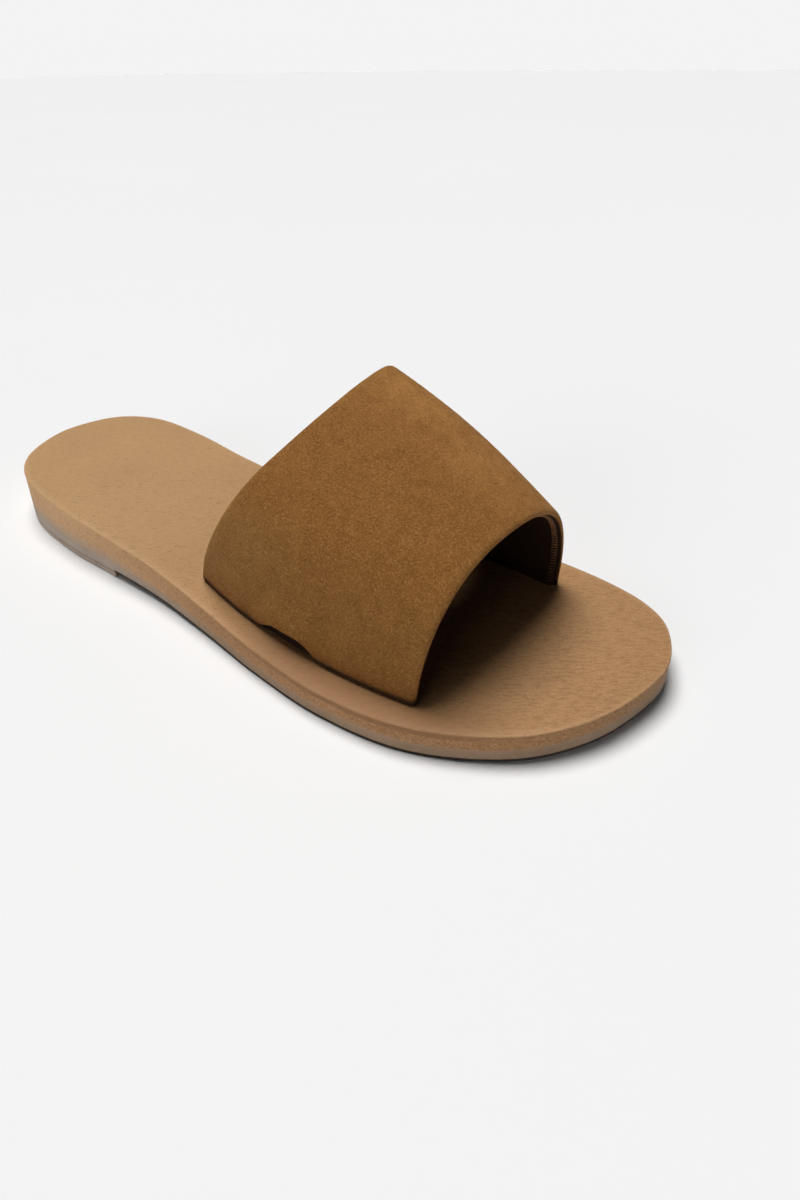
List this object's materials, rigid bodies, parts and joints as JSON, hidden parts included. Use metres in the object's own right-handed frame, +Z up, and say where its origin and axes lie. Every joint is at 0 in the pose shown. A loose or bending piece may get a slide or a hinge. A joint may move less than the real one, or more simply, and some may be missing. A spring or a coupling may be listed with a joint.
{
  "type": "slide sandal",
  "caption": "Slide sandal for a right foot: wide padded nubuck strap on a tan leather footbed, thin wedge midsole, rubber outsole and heel pad",
  "frame": {"origin": "on the floor under the middle of the sandal's bounding box", "axes": "+X to the toe, +Y to the inner side of the foot, +Z up"},
  "size_m": [0.262, 0.0949, 0.0778],
  "materials": {
    "sole_rubber": "matt grey-brown rubber",
    "heel_rubber": "matt grey-brown rubber",
    "wedge": "tan, finely pebbled, matt",
    "footbed_leather": "light tan, fine grain, low sheen",
    "strap_leather": "golden brown nubuck with a short nap"
  },
  "bodies": {
    "root": {"outsole": "sole_rubber", "heel_lift": "heel_rubber", "midsole": "wedge", "footbed": "footbed_leather", "strap": "strap_leather"}
  },
  "joints": []
}
